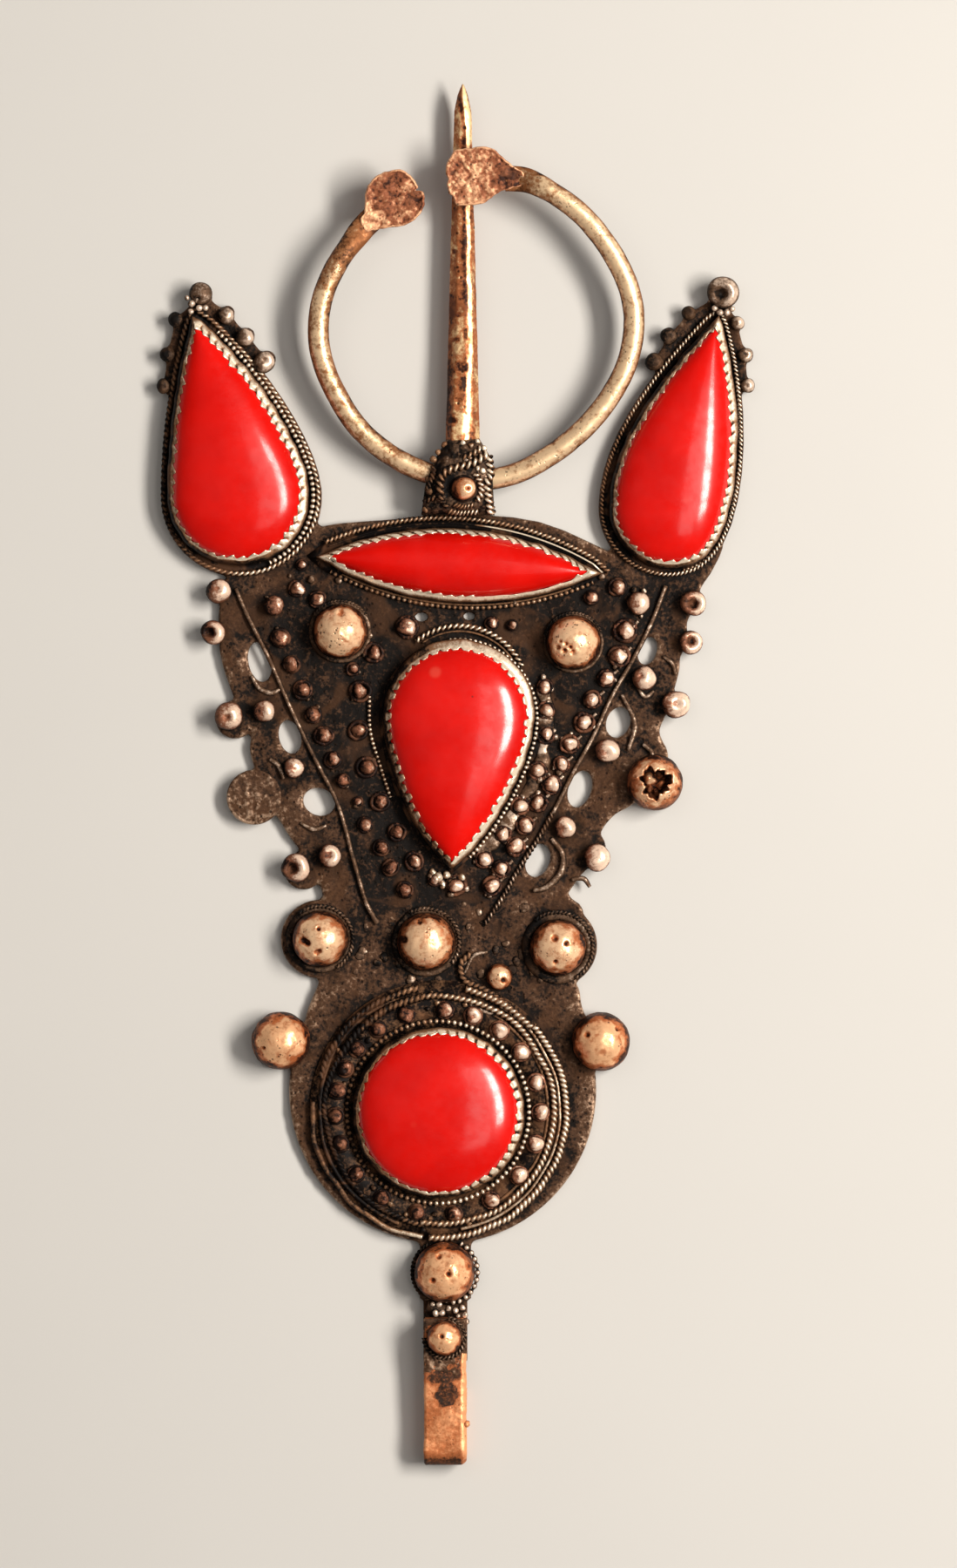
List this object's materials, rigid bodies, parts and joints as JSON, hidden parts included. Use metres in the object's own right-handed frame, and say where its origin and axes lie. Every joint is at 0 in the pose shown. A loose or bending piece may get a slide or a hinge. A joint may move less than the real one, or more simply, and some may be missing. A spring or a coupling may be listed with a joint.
{
  "type": "berber fibula brooch",
  "caption": "Pierced triangular brooch with raised oval stones in toothed settings, granules and domes, a fixed pin, an open ring that turns in a collar, and a chain strip.",
  "frame": {"origin": "middle of the brooch's bounding box on the plane of the plate's back, which it lies on", "axes": "+Y towards the pin's tip, +X to the right seen from the front, +Z out of the front"},
  "size_m": [0.0654, 0.1507, 0.0069],
  "materials": {
    "plate_patina": "dark oxidised silver, mottled, with lighter worn edges",
    "worn_silver": "worn bright silver with dark recesses",
    "dark_grains": "dark silver granules with worn tops",
    "warm_domes": "rubbed warm copper-toned silver, pitted",
    "pale_silver": "rubbed pale silver with brown stains",
    "copper_strip": "rubbed copper alloy with dark stains",
    "dull_disc": "dull bare solder disc",
    "red_stone": "opaque polished red stone"
  },
  "bodies": {
    "brooch": {"back_plate": "plate_patina", "ring_collar": "plate_patina", "pin": "pale_silver", "chain_strip": "copper_strip", "disc_bare": "dull_disc", "setting_wing_left": "worn_silver", "setting_wing_right": "worn_silver", "setting_centre": "worn_silver", "setting_top": "worn_silver", "setting_round": "worn_silver", "stone_wing_left": "red_stone", "stone_wing_right": "red_stone", "stone_centre": "red_stone", "stone_top": "red_stone", "stone_round": "red_stone", "dome_upper_left": "warm_domes", "dome_upper_right": "warm_domes", "dome_mid_left": "warm_domes", "dome_mid_centre": "warm_domes", "dome_mid_right": "warm_domes", "dome_small": "warm_domes", "dome_low_left": "warm_domes", "dome_low_right": "warm_domes", "dome_tail_large": "warm_domes", "dome_tail_small": "warm_domes", "dome_broken": "warm_domes", "wire_left": "worn_silver", "grains_edge_left": "warm_domes", "grains_row_left": "warm_domes", "grains_inner_left": "dark_grains", "grains_wing_left": "dark_grains", "tip_ball_left": "worn_silver", "wire_right": "worn_silver", "grains_edge_right": "warm_domes", "grains_row_right": "warm_domes", "grains_inner_right": "dark_grains", "grains_wing_right": "dark_grains", "tip_ball_right": "worn_silver", "grains_top": "dark_grains", "grains_round": "worn_silver"},
    "ring": {"ring": "pale_silver"}
  },
  "joints": [
    {"name": "ring_turn", "type": "hinge", "parent": "brooch", "child": "ring", "pos_m": [0.0021, 0.04896, 0.0041], "axis": [0, -0.0654, 0.9979], "range_deg": [-148, 94]}
  ]
}
